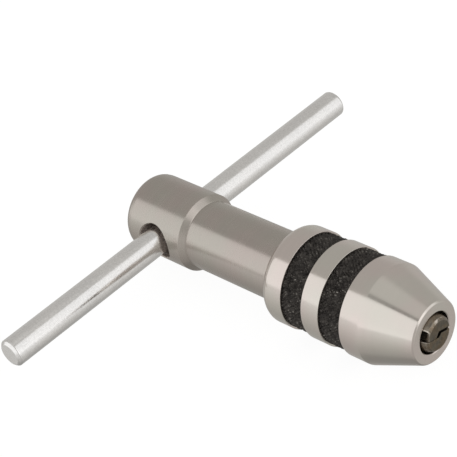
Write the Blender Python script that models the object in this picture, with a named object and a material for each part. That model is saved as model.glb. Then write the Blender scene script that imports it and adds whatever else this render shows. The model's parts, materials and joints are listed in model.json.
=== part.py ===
"""Sliding-bar tap wrench with a screw-on chuck sleeve and two sprung jaws.

Frame: origin at the centre of the flat rear face of the head, +X along the
spindle towards the nose, +Y along the T-bar, +Z up. Sizes below are in mm and
are turned into metres as the geometry is made.
"""
import math

import bmesh
import bpy
from mathutils import Vector

MM = 0.001

# Turns that lay a part's own axis along another one
X_TO_Y = (0, 0, math.radians(90))
X_TO_Z = (0, math.radians(-90), 0)
Z_TO_X = (0, math.radians(90), 0)

# ---------------------------------------------------------------- mesh detail
SEGMENTS = 48                 # sides of the large turned surfaces
MEDIUM_SEGMENTS = 32          # sides of the T-bar and its hole
FINE_SEGMENTS = 24            # sides of the axial bore and the set screw
POCKET_SEGMENTS = 20
HEAD_ROUND_STEPS = 5
BALL_SEGMENTS = 16
BALL_RINGS = 10
COIL_STEPS_PER_TURN = 12
RING_STEPS = 40
SHARP_ANGLE = math.radians(25)

# -------------------------------------------------------------------- spindle
HEAD_RADIUS = 8.375
HEAD_EDGE_ROUND = 1.7         # rounding of the rear rim
HEAD_LENGTH = 16.1            # rear face to the start of the front bevel
HEAD_BEVEL_END = 17.3
SHANK_RADIUS = 7.31
SHANK_END = 47.4
THREAD_MEAN_RADIUS = 6.5      # M14 x 1.5 drawn at its mean radius
THREAD_START = 48.2
THREAD_END = 61.6
THREAD_RUNOUT = 0.5           # taper from the thread down to the prongs
PRONG_RADIUS = 6.0
PRONG_CHAMFER = 0.4
SPINDLE_END = 66.5
SLOT_FLOOR = 54.5             # floor of the jaw slot
SLOT_HALF_WIDTH = 3.3
SLOT_OVERSHOOT = 2.0          # how far the slot cutter runs past the spindle's end

# -------------------------------------------------------- T-bar and cross hole
BAR_AXIS_X = 8.6
BAR_RADIUS = 3.0
BAR_LENGTH = 99.2
BAR_OFFSET_Y = 0.9            # resting place of the bar's middle
BAR_CHAMFER = 0.45
CROSS_HOLE_X = 8.78           # the loose hole lies a little ahead of the bar
CROSS_HOLE_RADIUS = 4.1
CROSS_HOLE_RIM = 4.38
FLARE_DEPTH = 1.3             # start of the hole's flare, in from the head radius
FLARE_RUN = 1.0               # length over which the flare grows to the rim
CROSS_HOLE_OVERSHOOT = 1.5

# ---------------------------------------------------- detent inside the spindle
BALL_RADIUS = 1.75
BALL_BORE_RADIUS = 1.85
BALL_GAP = 0.02
SCREW_BORE_RADIUS = 2.55
SCREW_BORE_OVERLAP = 2.0      # how far the bore cutter runs into the jaw slot
SCREW_SEAT_X = 22.0
SCREW_SEAT_GAP = 0.05
SCREW_LENGTH = 5.0
SCREW_RADIUS = 2.45
SCREW_POINT = 0.9             # rear chamfer
SCREW_EDGE = 0.35             # chamfer at the socket end
SOCKET_ACROSS_FLATS = 2.5
SOCKET_DEPTH = 2.2
SOCKET_OVERSHOOT = 1.0
DETENT_WIRE = 0.2             # wire radius
DETENT_COIL_RADIUS = 1.3
DETENT_TURNS = 6
DETENT_END_GAP = 0.03         # clearance at each end of the spring

# --------------------------------------------------------------- chuck sleeve
SLEEVE_REAR = 40.4
SLEEVE_RADIUS = 10.28
BAND_RADIUS = 9.88
BANDS = ((46.4, 51.7), (56.0, 61.25))  # start and end of each sunk band
CONE_START = 66.0
NOSE_FACE = 75.9
NOSE_RIM_RADIUS = 6.39
NOSE_RIM_CHAMFER = (0.25, 0.27)        # along X, radial
NOSE_HOLE_RADIUS = 4.31
NOSE_HOLE_CHAMFER = 0.15
NOSE_LAND_START = 75.0
INNER_CONE_SLOPE = 0.365      # growth of the inner cone per mm towards the rear
SLEEVE_BORE_RADIUS = 8.0
SLEEVE_THREAD = (49.0, 54.8)
SLEEVE_THREAD_RADIUS = 6.62
THREAD_FRONT_TAPER = 0.8
THREAD_REAR_TAPER = 0.6
TAIL_BORE_RADIUS = 7.41
TAIL_BORE_CHAMFER = 0.2
RING_GROOVE = (41.7, 43.0)
RING_GROOVE_RADIUS = 8.4

# Rounded rear end of the sleeve: distance ahead of SLEEVE_REAR, radius
SLEEVE_TAIL_CURVE = [
    (0.0, 7.86), (0.15, 8.45), (0.45, 9.03), (1.0, 9.66),
    (1.5, 10.04), (2.0, SLEEVE_RADIUS - 0.05), (2.35, SLEEVE_RADIUS),
]

# ------------------------------------------------------------------ drag ring
RING_WIRE = 0.44              # wire radius
RING_MEAN_RADIUS = RING_GROOVE_RADIUS - 0.56
RING_GAP = math.radians(22.0)

# ----------------------------------------------------------------------- jaws
JAW_SPLIT_TILT = math.radians(-17.0)   # turn of the split plane about +X
JAW_REAR = 54.7
JAW_FRONT = 76.95
JAW_TAIL_RADIUS = 4.3
JAW_TAIL_END = 61.8
JAW_SHOULDER_RUN = 0.4        # length of the sloping shoulder ahead of the tail
JAW_RADIUS = 6.0
JAW_CHAMFER = 0.2             # at the rear face and the shoulder
JAW_TIP_CHAMFER = (0.3, 0.28)          # along X, radial
JAW_CONE_GAP = 0.3            # radial gap to the sleeve's inner cone
JAW_HALF_WIDTH = 3.2
JAW_HALF_GAP = 0.2            # half the slit between the jaws at rest
JAW_STEP = 0.62               # half height of the step in the split, in front
JAW_STEP_START = 63.6
JAW_STEP_OVERLAP = 0.35       # how far the flat cut runs on into the stepped one
JAW_FLANK_GAP = 0.33          # half width, sideways, of the opening at the steep flank
JAW_FLANK_RUN = 0.3           # half of the flank's own sideways run
JAW_FULL_WIDTH_FROM = 67.2    # ahead of the slot the jaw is as wide as its cone
JAW_RELIEF_SIDE = 3.0         # the relief takes what lies beyond this on the -Y side
JAW_RELIEF_HEIGHT = 1.5       # and below this height
JAW_RELIEF_OVERLAP = 0.5      # how far the relief starts behind the full width
POCKET_RADIUS = 1.3
POCKET_DEPTH = 2.2
SPRING_X = (57.3, 60.3)
SPRING_WIRE = 0.14            # wire radius
SPRING_COIL_RADIUS = 0.95
SPRING_TURNS = 5
SPRING_LOW = -2.3
SPRING_HIGH = 2.05

CUT_REACH = 9.0               # sideways and upright reach of the slot and jaw cutters
JAW_OVERSHOOT = 1.0           # how far the jaw cutters run past the blank


# -------------------------------------------------------------------- objects
def clear_scene():
    for obj in list(bpy.data.objects):
        bpy.data.objects.remove(obj, do_unlink=True)


def make_material(name, colour, roughness, metallic):
    material = bpy.data.materials.new(name)
    material.use_nodes = True
    shader = material.node_tree.nodes["Principled BSDF"]
    shader.inputs["Base Color"].default_value = (*colour, 1.0)
    shader.inputs["Roughness"].default_value = roughness
    shader.inputs["Metallic"].default_value = metallic
    material.diffuse_color = (*colour, 1.0)
    return material


def place_object(name, data, parent, location=(0, 0, 0), rotation=(0, 0, 0)):
    """Link a new object, at a location in mm within its parent's frame."""
    obj = bpy.data.objects.new(name, data)
    if data is not None:
        data.name = name
    bpy.context.scene.collection.objects.link(obj)
    obj.parent = parent
    obj.location = [v * MM for v in location]
    obj.rotation_euler = rotation
    return obj


def add_part(name, data, material, parent, location=(0, 0, 0), rotation=(0, 0, 0)):
    data.materials.append(material)
    return place_object(name, data, parent, location, rotation)


def add_empty(name, parent=None, location=(0, 0, 0), rotation=(0, 0, 0)):
    empty = place_object(name, None, parent, location, rotation)
    empty.empty_display_size = 0.01
    return empty


def cut(target, name, mesh, parent, location=(0, 0, 0), rotation=(0, 0, 0)):
    """Subtract a mesh, kept as a hidden helper object, from the target."""
    tool = place_object(name, mesh, parent, location, rotation)
    tool.hide_render = True
    tool.display_type = "WIRE"
    modifier = target.modifiers.new(name, "BOOLEAN")
    modifier.operation = "DIFFERENCE"
    modifier.solver = "EXACT"
    modifier.object = tool


# ------------------------------------------------------------------- geometry
def mesh_from(bm):
    mesh = bpy.data.meshes.new("mesh")
    bm.to_mesh(mesh)
    bm.free()
    return mesh


def turned_mesh(profile, segments, closed=False):
    """A profile of (x, radius) in mm spun once about the local X axis."""
    bm = bmesh.new()
    verts = [bm.verts.new((x * MM, 0.0, radius * MM)) for x, radius in profile]
    pairs = list(zip(verts, verts[1:]))
    if closed:
        pairs.append((verts[-1], verts[0]))
    edges = [bm.edges.new(pair) for pair in pairs]
    bmesh.ops.spin(
        bm, geom=verts + edges, cent=(0, 0, 0), axis=(1, 0, 0), dvec=(0, 0, 0),
        angle=2.0 * math.pi, steps=segments, use_merge=True, use_duplicate=False)
    bmesh.ops.remove_doubles(bm, verts=bm.verts, dist=1e-6)
    bmesh.ops.dissolve_degenerate(bm, edges=bm.edges, dist=1e-7)
    bmesh.ops.recalc_face_normals(bm, faces=bm.faces)
    mesh = mesh_from(bm)
    mesh.shade_smooth()
    mesh.set_sharp_from_angle(angle=SHARP_ANGLE)
    return mesh


def prism_mesh(outline, rear, front):
    """A closed outline of (y, z) in mm extruded along X from rear to front."""
    bm = bmesh.new()
    ring = [bm.verts.new((rear * MM, y * MM, z * MM)) for y, z in outline]
    extruded = bmesh.ops.extrude_face_region(bm, geom=[bm.faces.new(ring)])
    moved = [v for v in extruded["geom"] if isinstance(v, bmesh.types.BMVert)]
    bmesh.ops.translate(bm, verts=moved, vec=Vector((1, 0, 0)) * (front - rear) * MM)
    bmesh.ops.recalc_face_normals(bm, faces=bm.faces)
    return mesh_from(bm)


def box_outline(y_low, y_high, z_low, z_high):
    return [(y_low, z_low), (y_high, z_low), (y_high, z_high), (y_low, z_high)]


def wire_curve(points, wire_radius):
    """Round wire along a list of points in mm, with filled ends."""
    curve = bpy.data.curves.new("wire", "CURVE")
    curve.dimensions = "3D"
    curve.bevel_depth = wire_radius * MM
    curve.bevel_resolution = 1
    curve.use_fill_caps = True
    spline = curve.splines.new("POLY")
    spline.points.add(len(points) - 1)
    for node, (x, y, z) in zip(spline.points, points):
        node.co = (x * MM, y * MM, z * MM, 1.0)
    return curve


def coil_points(radius, low, high, turns):
    """A coil about local Z whose first and last turns lie close together."""
    even_share = 0.35         # share of the rise at constant pitch; the rest is eased
    count = turns * COIL_STEPS_PER_TURN
    points = []
    for i in range(count + 1):
        part = i / count
        ease = part * part * (3.0 - 2.0 * part)
        height = low + (high - low) * (even_share * part + (1.0 - even_share) * ease)
        angle = 2.0 * math.pi * turns * part
        points.append((radius * math.cos(angle), radius * math.sin(angle), height))
    return points


def rounded_rim(size, radius, steps):
    """Profile points of a rounded rim, from the flat face at x = 0 out to the radius."""
    points = []
    for i in range(steps + 1):
        angle = 0.5 * math.pi * i / steps
        points.append((size - size * math.cos(angle), radius - size + size * math.sin(angle)))
    return points


def inner_cone_radius(x):
    """Radius of the sleeve's inner cone at x."""
    return NOSE_HOLE_RADIUS + INNER_CONE_SLOPE * (NOSE_LAND_START - x)


def inner_cone_x(radius):
    """Place along X where the sleeve's inner cone has the given radius."""
    return NOSE_LAND_START - (radius - NOSE_HOLE_RADIUS) / INNER_CONE_SLOPE


# -------------------------------------------------------------------- spindle
def cross_hole_mesh():
    """Hole along local X, flared towards both ends."""
    reach = HEAD_RADIUS + CROSS_HOLE_OVERSHOOT
    flare_start = HEAD_RADIUS - FLARE_DEPTH
    flare_slope = (CROSS_HOLE_RIM - CROSS_HOLE_RADIUS) / FLARE_RUN
    end_radius = CROSS_HOLE_RADIUS + flare_slope * (reach - flare_start)
    profile = [
        (-reach, 0.0),
        (-reach, end_radius),
        (-flare_start, CROSS_HOLE_RADIUS),
        (flare_start, CROSS_HOLE_RADIUS),
        (reach, end_radius),
        (reach, 0.0),
    ]
    return turned_mesh(profile, MEDIUM_SEGMENTS)


def axial_bore_mesh():
    """Ball bore from the cross hole, widening to the screw bore, open to the slot."""
    bore_end = SLOT_FLOOR + SCREW_BORE_OVERLAP
    profile = [
        (CROSS_HOLE_X, 0.0),
        (CROSS_HOLE_X, BALL_BORE_RADIUS),
        (SCREW_SEAT_X, BALL_BORE_RADIUS),
        (SCREW_SEAT_X, SCREW_BORE_RADIUS),
        (bore_end, SCREW_BORE_RADIUS),
        (bore_end, 0.0),
    ]
    return turned_mesh(profile, FINE_SEGMENTS)


def build_spindle(root, jaw_frame, material):
    profile = [
        (0.0, 0.0),
        *rounded_rim(HEAD_EDGE_ROUND, HEAD_RADIUS, HEAD_ROUND_STEPS),
        (HEAD_LENGTH, HEAD_RADIUS),
        (HEAD_BEVEL_END, SHANK_RADIUS),
        (SHANK_END, SHANK_RADIUS),
        (THREAD_START, THREAD_MEAN_RADIUS),
        (THREAD_END, THREAD_MEAN_RADIUS),
        (THREAD_END + THREAD_RUNOUT, PRONG_RADIUS),
        (SPINDLE_END - PRONG_CHAMFER, PRONG_RADIUS),
        (SPINDLE_END, PRONG_RADIUS - PRONG_CHAMFER),
        (SPINDLE_END, 0.0),
    ]
    spindle = add_part("spindle_body", turned_mesh(profile, SEGMENTS), material, root)
    cut(spindle, "cut_cross_hole", cross_hole_mesh(), root, (CROSS_HOLE_X, 0, 0), X_TO_Y)
    cut(spindle, "cut_axial_bore", axial_bore_mesh(), root)
    slot_outline = box_outline(-SLOT_HALF_WIDTH, SLOT_HALF_WIDTH, -CUT_REACH, CUT_REACH)
    slot = prism_mesh(slot_outline, SLOT_FLOOR, SPINDLE_END + SLOT_OVERSHOOT)
    cut(spindle, "cut_jaw_slot", slot, jaw_frame)


def build_bar(root, material):
    half = 0.5 * BAR_LENGTH
    profile = [
        (-half, 0.0),
        (-half, BAR_RADIUS - BAR_CHAMFER),
        (-half + BAR_CHAMFER, BAR_RADIUS),
        (half - BAR_CHAMFER, BAR_RADIUS),
        (half, BAR_RADIUS - BAR_CHAMFER),
        (half, 0.0),
    ]
    mesh = turned_mesh(profile, MEDIUM_SEGMENTS)
    add_part("t_bar", mesh, material, root, (BAR_AXIS_X, BAR_OFFSET_Y, 0), X_TO_Y)


# --------------------------------------------------------------------- detent
def build_detent_ball(root, material, ball_x):
    bm = bmesh.new()
    bmesh.ops.create_uvsphere(
        bm, u_segments=BALL_SEGMENTS, v_segments=BALL_RINGS, radius=BALL_RADIUS * MM)
    mesh = mesh_from(bm)
    mesh.shade_smooth()
    add_part("detent_ball", mesh, material, root, (ball_x, 0, 0), Z_TO_X)


def build_detent_spring(root, material, ball_x):
    """Spring between the ball and the set screw."""
    rear = ball_x + BALL_RADIUS + DETENT_WIRE + DETENT_END_GAP
    front = SCREW_SEAT_X - DETENT_WIRE - DETENT_END_GAP
    points = coil_points(DETENT_COIL_RADIUS, 0.0, front - rear, DETENT_TURNS)
    curve = wire_curve(points, DETENT_WIRE)
    add_part("detent_spring", curve, material, root, (rear, 0, 0), Z_TO_X)


def build_set_screw(root, material):
    """Set screw with a hexagon socket in its front end."""
    profile = [
        (0.0, 0.0),
        (0.0, SCREW_RADIUS - SCREW_POINT),
        (SCREW_POINT, SCREW_RADIUS),
        (SCREW_LENGTH - SCREW_EDGE, SCREW_RADIUS),
        (SCREW_LENGTH, SCREW_RADIUS - SCREW_EDGE),
        (SCREW_LENGTH, 0.0),
    ]
    place = (SCREW_SEAT_X + SCREW_SEAT_GAP, 0, 0)
    mesh = turned_mesh(profile, FINE_SEGMENTS)
    screw = add_part("detent_set_screw", mesh, material, root, place)
    corner = SOCKET_ACROSS_FLATS / math.sqrt(3.0)
    angles = [math.radians(60 * i) for i in range(6)]
    hexagon = [(corner * math.cos(angle), corner * math.sin(angle)) for angle in angles]
    socket = prism_mesh(hexagon, SCREW_LENGTH - SOCKET_DEPTH, SCREW_LENGTH + SOCKET_OVERSHOOT)
    cut(screw, "cut_hex_socket", socket, root, place)


# --------------------------------------------------------- sleeve and drag ring
def build_sleeve(root, material):
    """Sleeve profile: outside from rear to nose, then inside back to the rear."""
    rim_length, rim_height = NOSE_RIM_CHAMFER
    thread_rear, thread_front = SLEEVE_THREAD
    groove_rear, groove_front = RING_GROOVE

    outer = [(SLEEVE_REAR, TAIL_BORE_RADIUS + TAIL_BORE_CHAMFER)]
    outer += [(SLEEVE_REAR + ahead, radius) for ahead, radius in SLEEVE_TAIL_CURVE]
    for start, end in BANDS:
        outer += [
            (start, SLEEVE_RADIUS), (start, BAND_RADIUS),
            (end, BAND_RADIUS), (end, SLEEVE_RADIUS),
        ]
    outer += [
        (CONE_START, SLEEVE_RADIUS),
        (NOSE_FACE - rim_length, NOSE_RIM_RADIUS + rim_height),
        (NOSE_FACE, NOSE_RIM_RADIUS),
    ]
    inner = [
        (NOSE_FACE, NOSE_HOLE_RADIUS + NOSE_HOLE_CHAMFER),
        (NOSE_FACE - NOSE_HOLE_CHAMFER, NOSE_HOLE_RADIUS),
        (NOSE_LAND_START, NOSE_HOLE_RADIUS),
        (inner_cone_x(SLEEVE_BORE_RADIUS), SLEEVE_BORE_RADIUS),
        (thread_front + THREAD_FRONT_TAPER, SLEEVE_BORE_RADIUS),
        (thread_front, SLEEVE_THREAD_RADIUS),
        (thread_rear, SLEEVE_THREAD_RADIUS),
        (thread_rear - THREAD_REAR_TAPER, TAIL_BORE_RADIUS),
        (groove_front, TAIL_BORE_RADIUS),
        (groove_front, RING_GROOVE_RADIUS),
        (groove_rear, RING_GROOVE_RADIUS),
        (groove_rear, TAIL_BORE_RADIUS),
        (SLEEVE_REAR + TAIL_BORE_CHAMFER, TAIL_BORE_RADIUS),
    ]
    profile = [(x - SLEEVE_REAR, radius) for x, radius in outer + inner]
    mesh = turned_mesh(profile, SEGMENTS, closed=True)
    add_part("chuck_sleeve", mesh, material, root, (SLEEVE_REAR, 0, 0))


def build_drag_ring(root, material):
    """Open wire ring in the sleeve's groove, its gap centred on +Y."""
    points = []
    for i in range(RING_STEPS + 1):
        angle = 0.5 * RING_GAP + (2.0 * math.pi - RING_GAP) * i / RING_STEPS
        points.append((0.0, RING_MEAN_RADIUS * math.cos(angle), RING_MEAN_RADIUS * math.sin(angle)))
    curve = wire_curve(points, RING_WIRE)
    add_part("sleeve_drag_ring", curve, material, root, (0.5 * sum(RING_GROOVE), 0, 0))


# ----------------------------------------------------------------------- jaws
def jaw_blank_mesh():
    """Full round blank, tapered to follow the sleeve's inner cone."""
    tip_length, tip_height = JAW_TIP_CHAMFER
    tip = JAW_FRONT - tip_length
    tip_radius = inner_cone_radius(tip) - JAW_CONE_GAP
    shoulder = JAW_TAIL_END + JAW_SHOULDER_RUN
    profile = [
        (JAW_REAR, 0.0),
        (JAW_REAR, JAW_TAIL_RADIUS - JAW_CHAMFER),
        (JAW_REAR + JAW_CHAMFER, JAW_TAIL_RADIUS),
        (JAW_TAIL_END, JAW_TAIL_RADIUS),
        (shoulder, JAW_RADIUS - JAW_CHAMFER),
        (shoulder + JAW_CHAMFER, JAW_RADIUS),
        (inner_cone_x(JAW_RADIUS + JAW_CONE_GAP), JAW_RADIUS),
        (tip, tip_radius),
        (JAW_FRONT, tip_radius - tip_height),
        (JAW_FRONT, 0.0),
    ]
    return turned_mesh([(x - JAW_REAR, radius) for x, radius in profile], SEGMENTS)


def build_jaw(name, blank, turn, jaw_frame, material):
    """One jaw, cut from the blank in a frame at its rear face, turned about X."""
    frame = add_empty(name + "_frame", jaw_frame, (JAW_REAR, 0, 0), (turn, 0, 0))
    jaw = add_part(name, blank.copy(), material, frame)
    rear = -JAW_OVERSHOOT
    front = JAW_FRONT - JAW_REAR + JAW_OVERSHOOT
    step_start = JAW_STEP_START - JAW_REAR
    full_width = JAW_FULL_WIDTH_FROM - JAW_REAR

    below = box_outline(-CUT_REACH, CUT_REACH, -CUT_REACH, JAW_HALF_GAP)
    cut(jaw, "cut_below_" + name, prism_mesh(below, rear, step_start + JAW_STEP_OVERLAP), frame)

    # ahead of the springs the split is stepped, and the opening at its steep
    # flank takes the tap's square
    top, low = JAW_HALF_GAP + JAW_STEP, JAW_HALF_GAP - JAW_STEP
    step = [
        (CUT_REACH, top), (JAW_FLANK_RUN - JAW_FLANK_GAP, top),
        (-JAW_FLANK_RUN - JAW_FLANK_GAP, low), (-CUT_REACH, low),
        (-CUT_REACH, -CUT_REACH), (CUT_REACH, -CUT_REACH),
    ]
    cut(jaw, "cut_step_" + name, prism_mesh(step, step_start, front), frame)

    # narrow the rear part to fit the spindle's slot
    cheeks = (("left", -CUT_REACH, -JAW_HALF_WIDTH), ("right", JAW_HALF_WIDTH, CUT_REACH))
    for tag, y_low, y_high in cheeks:
        cheek = prism_mesh(box_outline(y_low, y_high, -CUT_REACH, CUT_REACH), rear, full_width)
        cut(jaw, "cut_cheek_%s_%s" % (tag, name), cheek, frame)

    relief = box_outline(-CUT_REACH, -JAW_RELIEF_SIDE, -CUT_REACH, JAW_RELIEF_HEIGHT)
    relief_mesh = prism_mesh(relief, full_width - JAW_RELIEF_OVERLAP, front)
    cut(jaw, "cut_relief_" + name, relief_mesh, frame)

    pocket_top = JAW_HALF_GAP + POCKET_DEPTH
    pocket = [
        (-JAW_OVERSHOOT, 0.0), (-JAW_OVERSHOOT, POCKET_RADIUS),
        (pocket_top, POCKET_RADIUS), (pocket_top, 0.0),
    ]
    for i, x in enumerate(SPRING_X):
        mesh = turned_mesh(pocket, POCKET_SEGMENTS)
        cut(jaw, "cut_pocket_%d_%s" % (i, name), mesh, frame, (x - JAW_REAR, 0, 0), X_TO_Z)


def build_jaw_springs(jaw_frame, material):
    points = coil_points(
        SPRING_COIL_RADIUS, SPRING_LOW + SPRING_WIRE, SPRING_HIGH - SPRING_WIRE, SPRING_TURNS)
    for name, x in zip(("jaw_spring_rear", "jaw_spring_front"), SPRING_X):
        add_part(name, wire_curve(points, SPRING_WIRE), material, jaw_frame, (x, 0, 0))


def main():
    clear_scene()
    satin_steel = make_material(
        "satin_steel", colour=(0.52, 0.49, 0.47), roughness=0.34, metallic=1.0)
    bright_bar = make_material(
        "bright_bar", colour=(0.74, 0.74, 0.73), roughness=0.18, metallic=1.0)
    sleeve_steel = make_material(
        "sleeve_steel", colour=(0.66, 0.63, 0.61), roughness=0.28, metallic=1.0)
    black_oxide = make_material(
        "black_oxide", colour=(0.10, 0.085, 0.065), roughness=0.42, metallic=0.8)
    spring_wire = make_material(
        "spring_wire", colour=(0.45, 0.45, 0.46), roughness=0.3, metallic=1.0)
    hard_ball = make_material(
        "hard_ball", colour=(0.8, 0.8, 0.8), roughness=0.08, metallic=1.0)
    screw_black = make_material(
        "screw_black", colour=(0.04, 0.04, 0.042), roughness=0.45, metallic=0.7)

    root = add_empty("tool_frame")
    jaw_frame = add_empty("jaw_split_frame", root, rotation=(JAW_SPLIT_TILT, 0, 0))

    build_spindle(root, jaw_frame, satin_steel)
    build_bar(root, bright_bar)
    ball_x = BAR_AXIS_X + BAR_RADIUS + BALL_GAP + BALL_RADIUS
    build_detent_ball(root, hard_ball, ball_x)
    build_detent_spring(root, spring_wire, ball_x)
    build_set_screw(root, screw_black)
    build_sleeve(root, sleeve_steel)
    build_drag_ring(root, spring_wire)
    blank = jaw_blank_mesh()
    build_jaw("jaw_upper", blank, 0.0, jaw_frame, black_oxide)
    build_jaw("jaw_lower", blank, math.pi, jaw_frame, black_oxide)
    build_jaw_springs(jaw_frame, spring_wire)
    bpy.context.view_layer.update()


main()
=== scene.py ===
import json
import math

import bmesh
import bpy
import numpy as np
from mathutils import Matrix, Vector


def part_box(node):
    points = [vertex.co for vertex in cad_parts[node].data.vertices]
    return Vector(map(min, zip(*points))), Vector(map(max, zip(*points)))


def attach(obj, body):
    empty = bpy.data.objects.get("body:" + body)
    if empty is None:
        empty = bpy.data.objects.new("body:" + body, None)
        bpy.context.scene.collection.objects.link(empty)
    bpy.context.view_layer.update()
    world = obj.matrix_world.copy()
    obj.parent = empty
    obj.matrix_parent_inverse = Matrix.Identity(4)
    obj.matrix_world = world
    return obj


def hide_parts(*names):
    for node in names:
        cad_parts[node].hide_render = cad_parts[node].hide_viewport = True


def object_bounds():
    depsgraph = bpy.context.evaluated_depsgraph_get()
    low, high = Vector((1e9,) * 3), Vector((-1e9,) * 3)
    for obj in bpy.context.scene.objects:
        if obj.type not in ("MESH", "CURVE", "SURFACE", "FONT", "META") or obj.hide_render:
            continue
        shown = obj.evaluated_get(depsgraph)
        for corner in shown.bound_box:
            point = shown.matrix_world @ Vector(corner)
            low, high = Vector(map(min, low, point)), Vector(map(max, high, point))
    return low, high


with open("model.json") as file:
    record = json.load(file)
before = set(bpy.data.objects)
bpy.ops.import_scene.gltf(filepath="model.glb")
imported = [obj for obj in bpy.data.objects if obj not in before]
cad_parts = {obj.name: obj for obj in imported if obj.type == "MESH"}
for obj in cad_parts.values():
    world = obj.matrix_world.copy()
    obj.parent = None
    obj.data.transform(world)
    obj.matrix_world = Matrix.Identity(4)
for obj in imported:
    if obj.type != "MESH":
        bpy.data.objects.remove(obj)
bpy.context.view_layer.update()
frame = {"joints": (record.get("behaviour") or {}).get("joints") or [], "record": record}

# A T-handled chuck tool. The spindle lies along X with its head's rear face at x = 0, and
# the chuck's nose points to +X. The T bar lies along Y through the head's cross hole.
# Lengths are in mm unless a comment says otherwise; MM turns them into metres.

MM = 0.001
TAU = 2.0 * math.pi


# ------------------------------------------------------------- frame places
def box_mm(node):
    """Low and high corners of a CAD piece in mm."""
    low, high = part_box(node)
    return [v / MM for v in low], [v / MM for v in high]


def middle(box, axis):
    return 0.5 * (box[0][axis] + box[1][axis])


SPINDLE = box_mm("spindle_body")
BAR = box_mm("t_bar")
SLEEVE = box_mm("chuck_sleeve")
JAW = box_mm("jaw_upper")
SCREW = box_mm("detent_set_screw")
BALL = box_mm("detent_ball")
DETENT_SPRING = box_mm("detent_spring")
DRAG_RING = box_mm("sleeve_drag_ring")
JAW_SPRING_REAR = box_mm("jaw_spring_rear")
JAW_SPRING_FRONT = box_mm("jaw_spring_front")

HEAD_R = SPINDLE[1][2]
SPINDLE_END = SPINDLE[1][0]
SLEEVE_REAR, NOSE_X = SLEEVE[0][0], SLEEVE[1][0]
SLEEVE_R = SLEEVE[1][2]
JAW_REAR, JAW_FRONT = JAW[0][0], JAW[1][0]

jaw_joint = next(j for j in frame["joints"] if j["name"] == "jaw_upper_slide")
JAW_TILT = -math.atan2(jaw_joint["axis"][1], jaw_joint["axis"][2])
couplings = frame["record"]["behaviour"]["couplings"]
sleeve_turn = next(c for c in couplings if c["joint"] == "sleeve_advance")
PITCH = sleeve_turn["ratio"] * TAU / MM

# --------------------------------------------------------------- dimensions
# thread between spindle and sleeve
THREAD_CREST, THREAD_ROOT = 7.0, 6.19
THREAD_PLAY = 0.08            # added to the radius of the sleeve's thread

# cone inside the sleeve that closes the jaws
CONE_X = NOSE_X - 0.9         # its narrow end
CONE_R = 4.31                 # radius there
CONE_SLOPE = 0.365            # growth of the radius towards the rear

# sleeve
SLEEVE_DATUM = NOSE_X - 35.4  # features are placed from here
SLEEVE_BORE = 7.41
SLEEVE_WIDE_BORE = 8.0        # round the jaws
BANDS = ((SLEEVE_DATUM + 5.9, SLEEVE_DATUM + 11.2), (SLEEVE_DATUM + 15.5, SLEEVE_DATUM + 20.75))
BAND_EDGE = 9.90              # radius where the bands' end walls meet the knurl

# knurl
KNURL_TEETH = 72              # teeth round the sleeve
KNURL_SUB = 8                 # mesh steps per tooth
KNURL_STEP = 0.1363           # mesh step along X
KNURL_CREST, KNURL_ROOT = 9.95, 9.52
KNURL_FADE = 0.20             # length over which it fades at a band's ends
FINE = KNURL_TEETH * KNURL_SUB
COARSE = FINE // 3            # mesh steps round the smooth surfaces
KNURL_GROUP = 1               # material index of the bands

# spindle
HOLE_X, HOLE_R, HOLE_CHAMFER = 8.78, 4.10, 0.27   # the loose cross hole
SHANK_R = 7.31
THREAD_NECK = 6.12
SPINDLE_THREAD = (48.1, 62.0)
SPINDLE_TIP_R = 6.0

# jaws
JAW_R = 6.0
JAW_SLIT = 0.25               # half the gap of the split
JAW_STEP = 0.64               # half the step's height
JAW_FLANK = 0.30              # half the width of the flank's opening
JAW_FLANK_EXTRA = 0.26        # more of it on the upper jaw
JAW_RUN = 0.30                # reach of the sloping flank each side of its middle
JAW_LOWER_GAP = 0.10          # shift of the lower jaw's level faces
JAW_CLEAR = 0.26              # gap to the cone
JAW_CHEEK = 3.2               # half width of the jaws' rear part
CUT_REACH = 9.0               # cutting tools reach this far from the axis


# ---------------------------------------------------------------- mesh tools
def hash01(*keys):
    """Repeatable value in 0..1 from integer arrays."""
    value = np.zeros(np.broadcast(*keys).shape, dtype=np.uint64) + np.uint64(1469598103)
    for key in keys:
        value = (value ^ np.asarray(key).astype(np.int64).astype(np.uint64))
        value = value * np.uint64(1099511628211)
        value ^= value >> np.uint64(29)
    value = value * np.uint64(0x9E3779B97F4A7C15)
    return ((value >> np.uint64(40)) & np.uint64(0xFFFF)).astype(float) / 65535.0


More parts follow.
